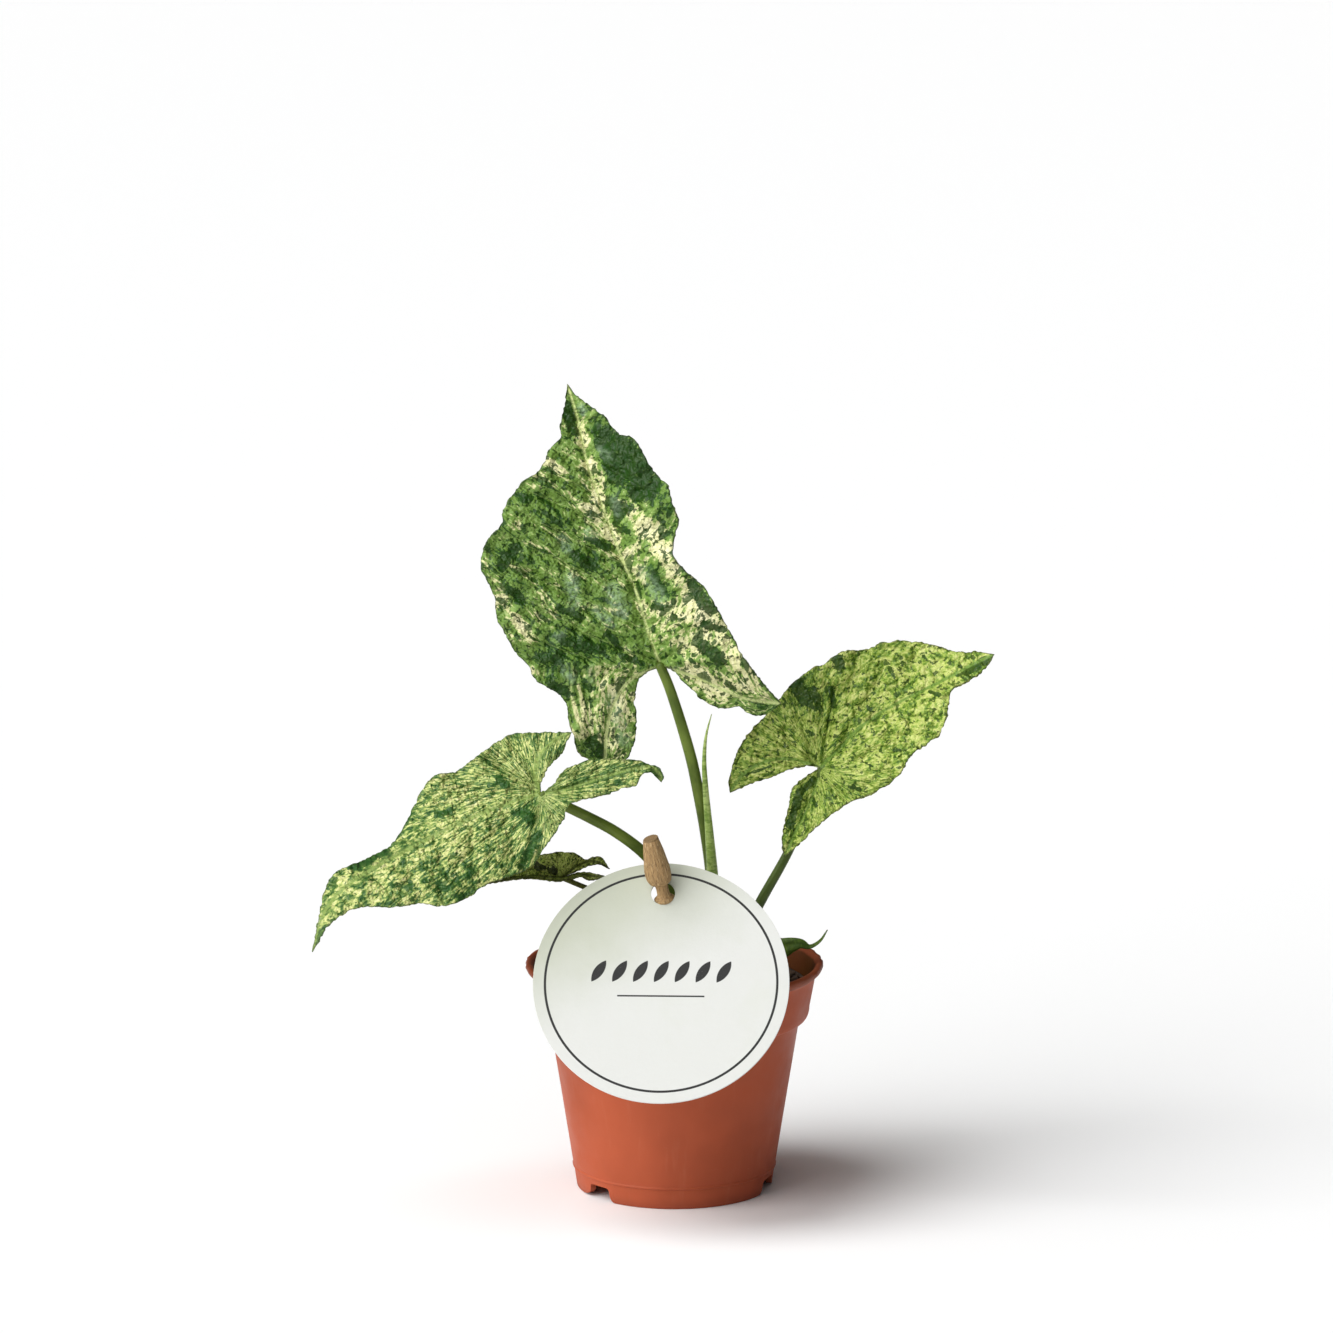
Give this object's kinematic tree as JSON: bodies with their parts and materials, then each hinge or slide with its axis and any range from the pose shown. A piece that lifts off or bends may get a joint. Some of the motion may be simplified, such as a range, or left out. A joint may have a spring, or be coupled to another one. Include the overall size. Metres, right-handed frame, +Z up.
{
  "type": "potted arrowhead plant",
  "caption": "Young arrowhead plant with mottled arrow-shaped leaves in a round plastic nursery pot, with a plain round card tag hung on a wooden peg.",
  "frame": {"origin": "centre of the object's bounding box seen from above, on the surface that the pot's feet stand on", "axes": "+Z up, -Y towards the side that the tag faces, +X to the right as seen from there"},
  "size_m": [0.2048, 0.1098, 0.242],
  "materials": {
    "terracotta_plastic": "satin",
    "peat_mix": "matte",
    "mottled_leaf": "satin",
    "dark_leaf": "satin",
    "stalk": "satin",
    "card": "matte",
    "peg_wood": "matte"
  },
  "bodies": {
    "root": {"pot": "terracotta_plastic", "soil": "peat_mix", "main_stem": "stalk", "tall_leaf_stalk": "stalk", "tall_leaf_blade": "mottled_leaf", "rolled_new_leaf": "stalk", "right_leaf_stalk": "stalk", "right_leaf_blade": "mottled_leaf", "left_leaf_stalk": "stalk", "left_leaf_blade": "mottled_leaf", "low_leaf_stalk": "stalk", "low_leaf_blade": "dark_leaf", "curled_leaf": "dark_leaf", "tag_card": "card", "tag_peg": "peg_wood"}
  },
  "joints": []
}
